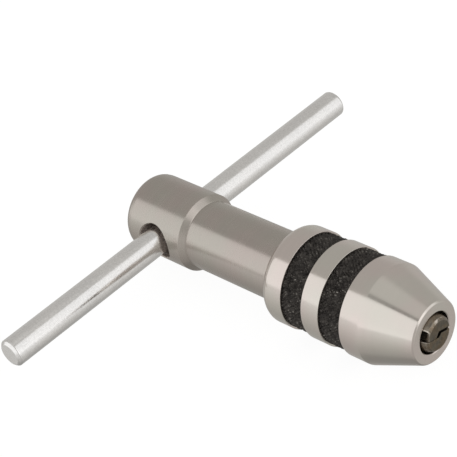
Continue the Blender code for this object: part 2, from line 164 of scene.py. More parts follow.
def rounded(profile, steps):
    """(x, radius, fillet) corners to (x, radius) points whose inner corners are rounded.
    A guard point on each side of a rounding keeps the long faces' shading flat."""
    guard_gap = 0.05
    out = []
    for i, (x, r, fillet) in enumerate(profile):
        if fillet <= 0 or i in (0, len(profile) - 1):
            out.append((x, r))
            continue
        corner = np.array([x, r], float)
        back = np.array(profile[i - 1][:2], float) - corner
        ahead = np.array(profile[i + 1][:2], float) - corner
        back_length, ahead_length = np.linalg.norm(back), np.linalg.norm(ahead)
        back, ahead = back / back_length, ahead / ahead_length
        angle = math.acos(max(-1.0, min(1.0, float(back @ ahead))))
        if angle > math.radians(176):
            out.append((x, r))
            continue
        trim = min(fillet / math.tan(angle / 2), 0.45 * back_length, 0.45 * ahead_length)
        fillet = trim * math.tan(angle / 2)
        bisector = (back + ahead) / np.linalg.norm(back + ahead)
        centre = corner + bisector * (fillet / math.sin(angle / 2))
        start, end = corner + back * trim, corner + ahead * trim
        guard = min(guard_gap, 0.3 * (back_length - trim), 0.3 * (ahead_length - trim))
        out.append(tuple(start + back * guard))
        from_start, from_end = start - centre, end - centre
        sweep = math.pi - angle
        for k in range(steps + 1):
            s = k / steps
            arm = from_start * math.sin((1 - s) * sweep) + from_end * math.sin(s * sweep)
            out.append(tuple(centre + arm / math.sin(sweep)))
        out.append(tuple(end + ahead * guard))
    return out


def around(count):
    return TAU * np.arange(count) / count


def ring(x, r, count):
    """One ring of points round the X axis; r may be a list of radii."""
    angle = around(count)
    r = np.broadcast_to(np.asarray(r, float), (count,))
    return np.stack([np.full(count, float(x)), r * np.cos(angle), r * np.sin(angle)], 1)


class Shell:
    """Collects rings of points and the faces between them. A ring is (first index, count)."""

    def __init__(self):
        self.points, self.faces, self.groups, self.total = [], [], [], 0

    def add(self, points):
        start = self.total
        self.points.append(np.asarray(points, float))
        self.total += len(points)
        return start, len(points)

    def turn(self, profile, count):
        """A ring for each (x, radius) point."""
        return [self.add(ring(x, r, count)) for x, r in profile]

    def face(self, group, *indices):
        self.faces.append(tuple(int(i) for i in indices))
        self.groups.append(group)

    def bridge(self, lower, upper, group=0, split=None):
        """Faces between two rings. Where one ring has a multiple of the other's points
        they are polygons; split says which way each quad is cut into triangles."""
        (a, n), (b, m) = lower, upper
        if n == m:
            for i in range(n):
                j = (i + 1) % n
                if split is None:
                    self.face(group, a + i, b + i, b + j, a + j)
                elif split[i]:
                    self.face(group, a + i, b + i, a + j)
                    self.face(group, a + j, b + i, b + j)
                else:
                    self.face(group, a + i, b + i, b + j)
                    self.face(group, a + i, b + j, a + j)
        elif m > n:
            k = m // n
            for i in range(n):
                fine = [b + (i * k + s) % m for s in range(k + 1)]
                self.face(group, a + i, *fine, a + (i + 1) % n)
        else:
            k = n // m
            for i in range(m):
                fine = [a + (i * k + s) % n for s in range(k + 1)]
                self.face(group, *fine[::-1], b + i, b + (i + 1) % m)

    def chain(self, rings):
        for lower, upper in zip(rings, rings[1:]):
            self.bridge(lower, upper)

    def extend(self, last, rings, group=0):
        """Joins rings to the last one, the first join in a group, and returns the new last."""
        self.bridge(last, rings[0], group)
        self.chain(rings)
        return rings[-1]

    def fan(self, centre, rim, start=True):
        a, n = rim
        for i in range(n):
            j = (i + 1) % n
            if start:
                self.face(0, centre, a + i, a + j)
            else:
                self.face(0, centre, a + j, a + i)

    def cap(self, rim, start=True):
        """Closes a ring with a fan round its mean point."""
        a, n = rim
        centre = self.add([np.concatenate(self.points)[a:a + n].mean(0)])[0]
        self.fan(centre, rim, start)

    def mesh(self, name):
        me = bpy.data.meshes.new(name)
        me.from_pydata([tuple(p) for p in np.concatenate(self.points) * MM], [], self.faces)
        me.polygons.foreach_set("material_index", np.array(self.groups, np.int32))
        me.update()
        # faces point outwards: the signed volume is positive
        me.calc_loop_triangles()
        co = np.zeros(len(me.vertices) * 3)
        me.vertices.foreach_get("co", co)
        tri = np.zeros(len(me.loop_triangles) * 3, np.int32)
        me.loop_triangles.foreach_get("vertices", tri)
        tri = co.reshape(-1, 3)[tri.reshape(-1, 3)]
        if np.einsum("ij,ij->i", tri[:, 0], np.cross(tri[:, 1], tri[:, 2])).sum() < 0:
            me.flip_normals()
        return me


def turned(name, profile, count):
    """A closed body turned from (x, radius) points that start and end on the axis."""
    shell = Shell()
    rings = shell.turn(profile[1:-1], count)
    first = shell.add([(profile[0][0], 0, 0)])[0]
    last = shell.add([(profile[-1][0], 0, 0)])[0]
    shell.fan(first, rings[0])
    shell.chain(rings)
    shell.fan(last, rings[-1], start=False)
    return shell.mesh(name)


def rectangle(low_y, high_y, low_z, high_z):
    return [(low_y, low_z), (high_y, low_z), (high_y, high_z), (low_y, high_z)]


def prism(name, outline, low, high):
    """A closed (y, z) outline between two x positions."""
    shell = Shell()
    (a, n), (b, _) = [shell.add([(x, y, z) for y, z in outline]) for x in (low, high)]
    shell.face(0, *[a + i for i in range(n)][::-1])
    shell.face(0, *[b + i for i in range(n)])
    for i in range(n):
        j = (i + 1) % n
        shell.face(0, a + i, a + j, b + j, b + i)
    return shell.mesh(name)


def tube(name, points, radius, sides=14):
    """Round wire along points, with domed ends."""
    path = np.array(points, float)
    along = np.gradient(path, axis=0)
    along /= np.linalg.norm(along, axis=1)[:, None]
    normal = np.zeros_like(path)
    seed = np.array([1.0, 0, 0]) if abs(along[0][0]) < 0.9 else np.array([0, 1.0, 0])
    normal[0] = np.cross(along[0], seed)
    normal[0] /= np.linalg.norm(normal[0])
    for i in range(1, len(path)):
        v = normal[i - 1] - along[i] * (normal[i - 1] @ along[i])
        normal[i] = v / np.linalg.norm(v)
    across = np.cross(along, normal)
    angle = around(sides)
    shell = Shell()

    def circle(i, centre, r):
        arms = np.cos(angle)[:, None] * normal[i] + np.sin(angle)[:, None] * across[i]
        return shell.add(centre + r * arms)

    def dome(i, share, side):
        """Ring of an end's dome at a share of the quarter turn from pole to rim."""
        q = math.pi / 2 * share
        centre = path[i] + side * along[i] * radius * (1 - math.cos(q))
        return circle(i, centre, radius * math.sin(q))

    shares = (0.2, 0.5, 0.8)
    rings = [dome(0, share, 1) for share in shares]
    rings += [circle(i, path[i], radius) for i in range(1, len(path) - 1)]
    rings += [dome(-1, share, -1) for share in reversed(shares)]
    shell.chain(rings)
    shell.cap(rings[0])
    shell.cap(rings[-1], start=False)
    return shell.mesh(name)


def coil(radius, low, high, turns, per_turn):
    """Points of a helix round X whose end turns lie closer together."""
    close = 0.65
    points = []
    count = int(turns * per_turn)
    for i in range(count + 1):
        t = i / count
        ease = t * t * (3 - 2 * t)
        x = low + (high - low) * ((1 - close) * t + close * ease)
        points.append((x, radius * math.cos(TAU * turns * t), radius * math.sin(TAU * turns * t)))
    return points


def shift(x, y, z):
    return Matrix.Translation(Vector((x, y, z)) * MM)


def quarter_turn(degrees, axis):
    return Matrix.Rotation(math.radians(degrees), 4, axis)


def new_object(name, mesh, materials=()):
    obj = bpy.data.objects.new(name, mesh)
    bpy.context.scene.collection.objects.link(obj)
    for material in materials:
        obj.data.materials.append(material)
    return obj


def piece(name, mesh, materials, body, node, degrees=32):
    """A finished piece: smooth up to an angle, riding a body in place of its CAD node."""
    mesh.shade_smooth()
    mesh.set_sharp_from_angle(angle=math.radians(degrees))
    obj = new_object(name, mesh, materials)
    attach(obj, body)
    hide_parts(node)
    return obj


def baked(name, base, helpers=()):
    """The mesh of an object with its modifiers applied; the temporary objects are removed."""
    bpy.context.view_layer.update()
    evaluated = base.evaluated_get(bpy.context.evaluated_depsgraph_get())
    result = bpy.data.meshes.new_from_object(evaluated)
    result.name = name
    for obj in [*helpers, base]:
        bpy.data.objects.remove(obj, do_unlink=True)
    return result


def cut(name, mesh, tools):
    """Cuts the tool meshes from a mesh."""
    base = new_object(name + "_blank", mesh)
    helpers = []
    for i, tool in enumerate(tools):
        helper = new_object("%s_tool_%d" % (name, i), tool)
        boolean = base.modifiers.new("cut", "BOOLEAN")
        boolean.operation = "DIFFERENCE"
        boolean.solver = "EXACT"
        boolean.object = helper
        helpers.append(helper)
    result = baked(name, base, helpers)
    bm = bmesh.new()
    bm.from_mesh(result)
    bmesh.ops.remove_doubles(bm, verts=bm.verts, dist=2e-7)
    bmesh.ops.dissolve_degenerate(bm, edges=bm.edges, dist=1e-7)
    bm.to_mesh(result)
    bm.free()
    return result


def soften(name, mesh, width, degrees):
    """Rounds the edges sharper than an angle."""
    base = new_object(name + "_sharp", mesh)
    bevel = base.modifiers.new("edge", "BEVEL")
    bevel.width = width * MM
    bevel.segments = 2
    bevel.limit_method = "ANGLE"
    bevel.angle_limit = math.radians(degrees)
    bevel.use_clamp_overlap = True
    bevel.miter_outer = "MITER_ARC"
    bevel.harden_normals = False
    return baked(name, base)


# ---------------------------------------------------------- thread and knurl
def thread_height(x, angle, pitch):
    """0..1 height of a right-hand 60 degree thread at x and angle."""
    crest, root = 0.0625, 0.125       # half widths of the flats, in pitches
    away = np.abs((x / pitch - angle / TAU) % 1.0 - 0.5)
    return np.clip((0.5 - root - away) / (0.5 - root - crest), 0.0, 1.0)


def thread_rings(shell, start, end, limit, play=0.0, inner=False):
    """Rings of the main thread, kept outside (inner) or inside the radius limit(x)."""
    steps = int(round(abs(end - start) / (PITCH / 16)))
    angle = around(COARSE)
    clip = np.maximum if inner else np.minimum
    rings = []
    for k in range(steps + 1):
        x = start + (end - start) * k / steps
        height = thread_height(x, angle, PITCH)
        r = THREAD_ROOT + (THREAD_CREST - THREAD_ROOT) * height + play
        rings.append(shell.add(ring(x, clip(r, limit(x)), COARSE)))
    return rings


def lattice(u, v, seed, span):
    """Smooth repeatable values between the whole numbers of a grid; u wraps after span."""
    cell_u, cell_v = np.floor(u).astype(int), np.floor(v).astype(int)
    du, dv = u - cell_u, v - cell_v
    du, dv = du * du * (3 - 2 * du), dv * dv * (3 - 2 * dv)

    def corner(i, j):
        return hash01((cell_u + i) % span, cell_v + 50 + j, np.full(cell_u.shape, seed))

    near = corner(0, 0) * (1 - du) + corner(1, 0) * du
    far = corner(0, 1) * (1 - du) + corner(1, 1) * du
    return near * (1 - dv) + far * dv


def knurl_rings(shell, start, end, offset):
    """Crossed helical grooves with blunt, uneven, partly smeared crests.
    The offset shifts the pattern and its unevenness."""
    steps = int(round((end - start) / KNURL_STEP))
    depth_range = KNURL_CREST - KNURL_ROOT
    groove = 3.0 / KNURL_SUB          # half width of a groove, in teeth
    i = np.arange(FINE)

    def uneven(x, cells, length, seed):
        """Smooth noise with a number of cells round the sleeve and a cell length along X."""
        return lattice(i * cells / FINE, np.full(FINE, x / length), offset + seed, cells)

    rings, distances = [], []
    for j in range(steps + 1):
        x = start + (end - start) * j / steps
        # places across the two families of grooves, in teeth, with their wander
        sway = (0.9 * uneven(x, cells=48, length=1.3, seed=5)
                + 0.5 * uneven(x, cells=120, length=0.55, seed=9))
        drift = (0.9 * uneven(x, cells=48, length=1.3, seed=61)
                 + 0.5 * uneven(x, cells=120, length=0.55, seed=65))
        a = (i + j + offset) / KNURL_SUB + sway
        b = (i - j - offset + 64 * KNURL_SUB) / KNURL_SUB + drift
        to_a, to_b = np.abs(a - np.round(a)), np.abs(b - np.round(b))
        cell_a, cell_b = np.floor(a).astype(int), np.floor(b).astype(int)
        height = np.minimum(np.minimum(to_a, to_b), groove) / groove

        tooth = hash01((cell_a + cell_b) % (2 * KNURL_TEETH), cell_a - cell_b + 1000)
        grain = hash01(i, np.full(FINE, j + 17), np.full(FINE, offset + 3))
        wide = uneven(x, cells=36, length=1.7, seed=21)
        lump = uneven(x, cells=96, length=0.62, seed=43)
        small = uneven(x, cells=192, length=0.30, seed=77)
        # groove depth varies widely and from tooth to tooth; then lumps wear the crests
        depth = 0.50 + 0.45 * wide
        height = 1.0 - (1.0 - height) * depth * (0.75 + 0.25 * tooth)
        height = (height - 0.16 + 0.62 * (lump - 0.5) + 0.40 * (small - 0.5)
                  + 0.16 * (wide - 0.5))
        r = KNURL_ROOT + depth_range * height
        r = r + (grain - 0.5) * 0.045
        edge = min(x - start, end - x)
        if edge < KNURL_FADE:
            r = np.minimum(r, KNURL_ROOT + 0.12 + depth_range * (0.30 + 3.2 * edge))
        r = np.clip(r, KNURL_ROOT - 0.08, KNURL_CREST)
        rings.append(shell.add(ring(x, r, FINE)))
        distances.append((to_a, to_b))

    # each quad is split along the family of grooves that is nearer to it
    for j in range(steps):
        (a0, b0), (a1, b1) = distances[j], distances[j + 1]
        near_a = a0 + np.roll(a0, -1) + a1 + np.roll(a1, -1)
        near_b = b0 + np.roll(b0, -1) + b1 + np.roll(b1, -1)
        shell.bridge(rings[j], rings[j + 1], KNURL_GROUP, split=(near_a < near_b))
    return rings


# -------------------------------------------------------------------- sleeve
def build_sleeve(materials):
    shell = Shell()
    rear_x, datum, bore = SLEEVE_REAR, SLEEVE_DATUM, SLEEVE_BORE
    band_1, band_2 = BANDS
    cone_back = CONE_X - (SLEEVE_WIDE_BORE - CONE_R) / CONE_SLOPE

    # profiles: x, radius, fillet; from the bore over the outside and back into the bore.
    # the rear's first point only guides the rounding of the next
    rear = rounded([
        (datum + 0.9, bore, 0), (rear_x + 0.42, bore, 0.03),
        (rear_x, 7.68, 0.05), (rear_x, 7.86, 0.05),
        (rear_x + 0.15, 8.45, 0.3), (rear_x + 0.45, 9.03, 0.5),
        (rear_x + 1.0, 9.66, 0.9), (rear_x + 1.5, 10.03, 0.9),
        (rear_x + 2.05, SLEEVE_R - 0.035, 0.9), (rear_x + 2.5, SLEEVE_R, 0.5),
        (band_1[0], SLEEVE_R, 0.09), (band_1[0], BAND_EDGE, 0)], steps=4)[1:]
    between_bands = rounded([
        (band_1[1], BAND_EDGE, 0), (band_1[1], SLEEVE_R, 0.09),
        (band_2[0], SLEEVE_R, 0.09), (band_2[0], BAND_EDGE, 0)], steps=4)
    front = rounded([
        (band_2[1], BAND_EDGE, 0), (band_2[1], SLEEVE_R, 0.09), (NOSE_X - 10.2, SLEEVE_R, 0.7),
        (NOSE_X - 0.30, 6.56, 0.14), (NOSE_X, 6.25, 0.10),
        (NOSE_X, 5.6, 0), (NOSE_X, 4.47, 0.04),
        (NOSE_X - 0.16, CONE_R, 0.05), (CONE_X, CONE_R, 0.2),
        (cone_back, SLEEVE_WIDE_BORE, 0.3), (datum + 15.1, SLEEVE_WIDE_BORE, 0.1),
        (datum + 14.75, 7.5, 0)], steps=5)
    bore_tail = rounded([
        (datum + 8.0, 7.5, 0), (datum + 7.9, bore, 0),
        (datum + 2.5, bore, 0.05), (datum + 2.5, 8.4, 0.1),
        (datum + 1.2, 8.4, 0.1), (datum + 1.2, bore, 0.05), (datum + 1.0, bore, 0)], steps=3)

    rings = shell.turn(rear, COARSE)
    shell.chain(rings)
    first, last = rings[0], rings[-1]
    for band, offset, profile in ((band_1, 0, between_bands), (band_2, 5, front)):
        knurl = knurl_rings(shell, *band, offset)
        shell.bridge(last, knurl[0], KNURL_GROUP)
        last = shell.extend(knurl[-1], shell.turn(profile, COARSE), KNURL_GROUP)

    thread_front, thread_rear = datum + 14.7, datum + 8.1

    def limit(x):
        return max(6.27, 7.5 - 1.6 * (thread_front - x), 7.5 - 1.6 * (x - thread_rear))

    thread = thread_rings(shell, thread_front, thread_rear, limit, play=THREAD_PLAY, inner=True)
    last = shell.extend(last, thread)
    last = shell.extend(last, shell.turn(bore_tail, COARSE))
    shell.bridge(last, first)
    name = "chuck_sleeve_turned"
    piece(name, shell.mesh(name), materials, body="sleeve", node="chuck_sleeve",
          degrees=34)


# ------------------------------------------------------------------- spindle
def cross_hole_tool():
    """Round tool along Y whose chamfer follows the head's round surface."""
    phi = around(160)
    chamfer = HOLE_CHAMFER
    wide, narrow = HOLE_R + 2.2 * chamfer, HOLE_R + 0.35 * chamfer

    def surface(radius):
        return np.sqrt(np.maximum(HEAD_R ** 2 - (radius * np.sin(phi)) ** 2, 0.0))

    def loop(radius, y):
        y = np.broadcast_to(y, phi.shape)
        return np.stack([HOLE_X + radius * np.cos(phi), y, radius * np.sin(phi)], 1)

    def half(side):
        """Loops from outside the head inwards."""
        return [
            loop(wide, side * (HEAD_R + 2.0)),
            loop(wide, side * (surface(wide) + 1.2 * chamfer)),
            loop(narrow, side * (surface(narrow) - 0.75 * chamfer)),
            loop(HOLE_R, side * (surface(HOLE_R) - 1.5 * chamfer)),
            loop(HOLE_R, side * 3.0),
        ]

    shell = Shell()
    rings = [shell.add(points) for points in half(-1) + half(1)[::-1]]
    shell.chain(rings)
    shell.cap(rings[0])
    shell.cap(rings[-1], start=False)
    me = shell.mesh("cross_hole")
    bm = bmesh.new()
    bm.from_mesh(me)
    bmesh.ops.recalc_face_normals(bm, faces=bm.faces)
    bm.to_mesh(me)
    bm.free()
    return me


def spindle_blank():
    # profiles: x, radius, fillet
    body = rounded([
        (0, 0, 0), (0.0, HEAD_R - 1.7, 0.25), (0.12, HEAD_R - 1.12, 0.6),
        (0.5, HEAD_R - 0.5, 0.8), (1.12, HEAD_R - 0.12, 1.2), (2.0, HEAD_R, 2.0),
        (16.15, HEAD_R, 0.10), (17.22, 7.34, 0.05), (17.38, 7.16, 0.05),
        (17.56, SHANK_R, 0.05), (46.9, SHANK_R, 0.05), (47.3, 6.9, 0.05),
        (47.6, THREAD_NECK, 0.15), (48.05, THREAD_NECK, 0)], steps=5)
    tip = rounded([
        (62.1, SPINDLE_TIP_R, 0), (SPINDLE_END - 0.4, SPINDLE_TIP_R, 0.12),
        (SPINDLE_END, 5.6, 0.12), (SPINDLE_END, 1.5, 0)], steps=4)
    rear_face = [(0, 1.0), (0, 3.0)]
    thread_start, thread_end = SPINDLE_THREAD

    def limit(x):
        return min(THREAD_CREST, THREAD_NECK + 1.5 * (x - thread_start),
                   6.02 + 1.2 * (thread_end - x))

    shell = Shell()
    centre = shell.add([(0, 0, 0)])[0]
    rings = shell.turn(rear_face + body[1:], COARSE)
    shell.fan(centre, rings[0])
    shell.chain(rings)
    last = shell.extend(rings[-1], thread_rings(shell, thread_start, thread_end, limit))
    last = shell.extend(last, shell.turn(tip, COARSE))
    shell.cap(last, start=False)
    return shell.mesh("spindle_blank")


def build_spindle(materials):
    blank = spindle_blank()
    bore = turned("axial_bore", rounded([
        (HOLE_X, 0, 0), (HOLE_X, 1.85, 0), (21.8, 1.85, 0.05), (22.0, 2.55, 0),
        (54.2, 2.55, 0.05), (54.7, 3.1, 0), (56.5, 3.1, 0), (56.5, 0, 0)], steps=3), 72)
    slot_outline = rectangle(-3.3, 3.3, -CUT_REACH, CUT_REACH)
    slot = prism("jaw_slot", slot_outline, 54.5, SPINDLE_END + 2.0)
    slot.transform(Matrix.Rotation(JAW_TILT, 4, "X"))
    me = cut("spindle_turned", blank, [cross_hole_tool(), bore, slot])
    # the drilled wall of the cross hole has its own finish
    for poly in me.polygons:
        away = math.hypot(poly.center.x / MM - HOLE_X, poly.center.z / MM)
        if HOLE_R - 0.15 < away < HOLE_R + 0.10:
            poly.material_index = 1
    piece("spindle_turned", me, materials, body="spindle", node="spindle_body",
          degrees=30)


# --------------------------------------------------------------------- T bar
def build_bar(materials):
    half = 0.5 * (BAR[1][1] - BAR[0][1])
    radius = 0.5 * (BAR[1][2] - BAR[0][2])
    corners = rounded([
        (-half, 0, 0), (-half, radius - 0.62, 0.25), (-half + 0.55, radius, 0.45),
        (half - 0.55, radius, 0.45), (half, radius - 0.62, 0.25), (half, 0, 0)], steps=5)
    # small rings on the end faces and a few along the bar keep the shading even
    profile = [corners[0], (-half, 0.8), (-half, 1.7)]
    for here, following in zip(corners[1:-1], corners[2:]):
        profile.append(here)
        length = following[0] - here[0]
        if length > 20:
            profile += [(here[0] + length * k / 24, radius) for k in range(1, 24)]
    profile += [(half, 1.7), (half, 0.8), corners[-1]]
    me = turned("t_bar_drawn", profile, 96)
    me.transform(shift(middle(BAR, 0), middle(BAR, 1), 0) @ quarter_turn(90, "Z"))
    piece("t_bar_drawn", me, materials, body="bar", node="t_bar")


# ---------------------------------------------------------------------- jaws
def jaw_blank(name):
    def cone(x):
        return CONE_R - JAW_CLEAR + CONE_SLOPE * (CONE_X - x)

    tip = JAW_FRONT - 0.38
    cone_start = CONE_X - (JAW_R - CONE_R + JAW_CLEAR) / CONE_SLOPE
    # x, radius, fillet
    profile = rounded([
        (JAW_REAR, 0, 0), (JAW_REAR, 4.1, 0), (JAW_REAR + 0.2, 4.3, 0), (61.8, 4.3, 0.1),
        (62.2, 5.8, 0), (62.4, JAW_R, 0), (cone_start, JAW_R, 0.4),
        (70.5, cone(70.5), 0), (72.5, cone(72.5), 0), (74.5, cone(74.5), 0),
        (tip, cone(tip), 0.10), (JAW_FRONT, cone(tip) - 0.40, 0.08),
        (JAW_FRONT, 2.6, 0), (JAW_FRONT, 1.9, 0), (JAW_FRONT, 1.2, 0), (JAW_FRONT, 0, 0)],
        steps=4)
    return turned(name + "_blank", profile, 144)


def split_outline(lower):
    """What the stepped split takes from a jaw: level, a steep flank, level again."""
    reach = CUT_REACH
    high, low = JAW_STEP + JAW_SLIT, JAW_SLIT - JAW_STEP
    flank = JAW_FLANK + JAW_FLANK_EXTRA
    if lower:
        high -= 2.0 * JAW_SLIT - JAW_LOWER_GAP
        low += JAW_LOWER_GAP
        flank = JAW_FLANK
    return [(reach, high), (JAW_RUN - flank, high), (-JAW_RUN - flank, low), (-reach, low),
            (-reach, -reach), (reach, -reach)]


def build_jaw(name, node, body, lower, materials):
    blank = jaw_blank(name)
    reach, cheek = CUT_REACH, JAW_CHEEK
    rear, front = JAW_REAR - 1, JAW_FRONT + 1
    relief = [(-reach, -reach), (-3.02, -reach), (-3.02, 1.3), (-3.25, 1.65), (-reach, 1.65)]
    # name, (y, z) outline, low x, high x
    prisms = [
        ("_below", rectangle(-reach, reach, -reach, 0.2), rear, 63.95),
        ("_step", split_outline(lower), 63.6, front),
        ("_cheek_a", rectangle(-reach, -cheek, -reach, reach), rear, 67.2),
        ("_cheek_b", rectangle(cheek, reach, -reach, reach), rear, 67.2),
        ("_relief", relief, 66.7, front),
    ]
    tools = [prism(name + end, outline, low, high) for end, outline, low, high in prisms]
    # pockets for the two jaw springs
    for x in (57.3, 60.3):
        profile = [(-1.0, 0), (-1.0, 1.3), (2.3, 1.3), (2.4, 1.2), (2.4, 0)]
        pocket = turned(name + "_pocket", profile, 48)
        pocket.transform(shift(x, 0, 0) @ quarter_turn(-90, "Y"))
        tools.append(pocket)
    me = soften(name, cut(name, blank, tools), width=0.05, degrees=30)
    me.transform(Matrix.Rotation(JAW_TILT + (math.pi if lower else 0.0), 4, "X"))
    obj = piece(name, me, materials, body, node, degrees=24)
    obj.modifiers.new("flat_faces", "WEIGHTED_NORMAL").keep_sharp = True


# -------------------------------------------------------------- small pieces
def build_ball(materials):
    """Detent ball: a subdivided cube pushed out to the ball's radius."""
    centre = Vector([middle(BALL, axis) for axis in range(3)]) * MM
    radius = 0.5 * max(high - low for low, high in zip(*BALL))
    bm = bmesh.new()
    bmesh.ops.create_cube(bm, size=2.0)
    bmesh.ops.subdivide_edges(bm, edges=bm.edges[:], cuts=15, use_grid_fill=True)
    for v in bm.verts:
        direction = Vector([math.tan(c * math.pi / 4) for c in v.co]).normalized()
        v.co = centre + direction * radius * MM
    me = bpy.data.meshes.new("detent_ball_lapped")
    bm.to_mesh(me)
    bm.free()
    piece("detent_ball_lapped", me, materials, body="spindle", node="detent_ball")


def build_detent_spring(materials):
    name, wire = "detent_spring_coil", 0.2
    low, high = DETENT_SPRING[0][0] + wire, DETENT_SPRING[1][0] - wire
    points = coil(radius=1.3, low=low, high=high, turns=6, per_turn=40)
    piece(name, tube(name, points, wire), materials, body="spindle", node="detent_spring")


def build_set_screw(materials):
    """Fine thread, tapered front... rear end at low x, and a hex socket at high x."""
    low, high = SCREW[0][0], SCREW[1][0]
    count, pitch, root, thread_depth = 72, 0.8, 2.0, 0.45
    run_in, run_out = 0.6, 0.35       # plain lengths before and after the thread
    hex_width, hex_depth = 2.5, 2.2

    shell = Shell()
    taper = rounded([(low, 0, 0), (low, 1.45, 0.1), (low + 0.55, root, 0)], steps=3)
    rings = shell.turn(taper[1:], count)
    centre = shell.add([(low, 0, 0)])[0]
    shell.fan(centre, rings[0])
    angle = around(count)
    length = high - run_out - low - run_in
    steps = int(length / (pitch / 12))
    for k in range(steps + 1):
        x = low + run_in + length * k / steps
        r = root + thread_depth * thread_height(x, angle, pitch)
        r = np.minimum(r, root + 0.8 * (x - low - run_in) + 0.02)
        r = np.minimum(r, 2.12 + (high - run_out - x))
        rings.append(shell.add(ring(x, r, count)))
    rings += shell.turn([(high - 0.3, 2.1), (high - 0.08, 2.0), (high, 1.92)], count)
    shell.chain(rings)
    shell.cap(rings[-1], start=False)
    blank = shell.mesh("set_screw_blank")

    corner = hex_width / math.sqrt(3)
    turns = [math.radians(60 * i) for i in range(6)]
    hexagon = [(corner * math.cos(a), corner * math.sin(a)) for a in turns]
    socket = prism("hex_socket", hexagon, high - hex_depth, high + 1.0)
    name = "set_screw_threaded"
    piece(name, cut(name, blank, [socket]), materials, body="spindle",
          node="detent_set_screw")


def build_drag_ring(materials):
    """Open wire ring."""
    wire = 0.5 * (DRAG_RING[1][0] - DRAG_RING[0][0])
    x = middle(DRAG_RING, 0)
    radius = DRAG_RING[1][2] - wire
    half_gap, steps = math.radians(11.0), 160
    angles = [half_gap + (TAU - 2 * half_gap) * i / steps for i in range(steps + 1)]
    points = [(x, radius * math.cos(a), radius * math.sin(a)) for a in angles]
    name = "drag_ring_wire"
    piece(name, tube(name, points, wire, 16), materials, body="ring",
          node="sleeve_drag_ring")


def build_jaw_springs(materials):
    wire = 0.14
    for node, box in (("jaw_spring_rear", JAW_SPRING_REAR), ("jaw_spring_front", JAW_SPRING_FRONT)):
        name = node + "_coil"
        points = coil(radius=0.95, low=-2.3 + wire, high=2.05 - wire, turns=5, per_turn=36)
        me = tube(name, points, wire, 12)
        # the coil's axis lies along the jaws' split normal
        tilt = Matrix.Rotation(JAW_TILT, 4, "X")
        me.transform(shift(middle(box, 0), 0, 0) @ tilt @ quarter_turn(-90, "Y"))
        piece(name, me, materials, body="jaw_b", node=node)


# --------------------------------------------------------------- shader nodes
class Graph:
    """Wires the nodes of a material or a world."""

    def __init__(self, owner):
        self.owner = owner
        owner.use_nodes = True
        self.tree = owner.node_tree
        self.tree.nodes.clear()

    def put(self, socket, value):
        """Links or sets an input; None leaves it alone."""
        if isinstance(value, bpy.types.NodeSocket):
            self.tree.links.new(value, socket)
        elif value is not None:
            socket.default_value = value

    def node(self, kind, inputs=None, **settings):
        made = self.tree.nodes.new(kind)
        for key, value in settings.items():
            setattr(made, key, value)
        for key, value in (inputs or {}).items():
            self.put(made.inputs[key], value)
        return made

    def coord(self, output):
        return self.node("ShaderNodeTexCoord").outputs[output]

    def math(self, operation, a, b=None, clamp=False):
        return self.node("ShaderNodeMath", {0: a, 1: b}, operation=operation,
                         use_clamp=clamp).outputs[0]

    def add(self, a, b):
        return self.math("ADD", a, b)

    def times(self, a, b):
        return self.math("MULTIPLY", a, b)

    def swing(self, noise, amount):
        """Noise centred on zero, times an amount."""
        return self.times(self.math("SUBTRACT", noise, 0.5), amount)

    def vary(self, base, noise, amount):
        return self.add(base, self.swing(noise, amount))

    def split(self, vector):
        return self.node("ShaderNodeSeparateXYZ", {0: vector}).outputs[:]

    def stretch(self, x, y, z, by):
        """Coordinates scaled apart, so that noise on them runs in streaks."""
        scaled = [self.times(value, scale) for value, scale in zip((x, y, z), by)]
        return self.node("ShaderNodeCombineXYZ", dict(enumerate(scaled))).outputs[0]

    def radius(self, y, z):
        """Distance from the X axis."""
        return self.math("SQRT", self.add(self.times(y, y), self.times(z, z)))

    def noise(self, vector, scale=1.0, detail=3.0, rough=0.6):
        inputs = {"Vector": vector, "Scale": scale, "Detail": detail, "Roughness": rough}
        return self.node("ShaderNodeTexNoise", inputs).outputs["Fac"]

    def cells(self, vector, scale):
        inputs = {"Vector": vector, "Scale": scale}
        return self.node("ShaderNodeTexVoronoi", inputs).outputs["Distance"]

    def span(self, value, ends, to=(0.0, 1.0), smooth=False):
        """Maps the range between two ends to another range, clamped."""
        return self.node("ShaderNodeMapRange", dict(enumerate((value, *ends, *to))),
                         interpolation_type="SMOOTHSTEP" if smooth else "LINEAR").outputs[0]

    def mix(self, factor, a, b):
        a, b = [(*v, 1.0) if isinstance(v, tuple) else v for v in (a, b)]
        return self.node("ShaderNodeMix", {0: factor, 6: a, 7: b}, data_type="RGBA").outputs[2]

    def tones(self, noise, ends, low, high):
        """One colour where the noise is low, another where it is high."""
        return self.mix(self.span(noise, ends), low, high)

    def tint(self, colour, factor):
        """Colour times a grey factor."""
        return self.node("ShaderNodeVectorMath", {0: colour, "Scale": factor},
                         operation="SCALE").outputs[0]

    def pointiness(self):
        return self.node("ShaderNodeNewGeometry").outputs["Pointiness"]

    def bump(self, height, distance):
        inputs = {"Strength": 1.0, "Distance": distance * MM, "Height": height}
        return self.node("ShaderNodeBump", inputs).outputs[0]

    def tangent(self, axis):
        return self.node("ShaderNodeTangent", direction_type="RADIAL", axis=axis).outputs[0]

    def metal(self, colour, roughness, normal, metallic=1.0, aniso=None, rotation=None,
              tangent=None):
        shader = self.node("ShaderNodeBsdfPrincipled", {
            "Base Color": colour, "Roughness": roughness, "Metallic": metallic,
            "Normal": normal, "Anisotropic": aniso, "Anisotropic Rotation": rotation,
            "Tangent": tangent})
        return self.finish(shader)

    def finish(self, shader):
        self.node("ShaderNodeOutputMaterial", {0: shader.outputs[0]})
        return self.owner


def paint(name):
    """A new material's graph and its object coordinates."""
    g = Graph(bpy.data.materials.new(name))
    return g, g.coord("Object")


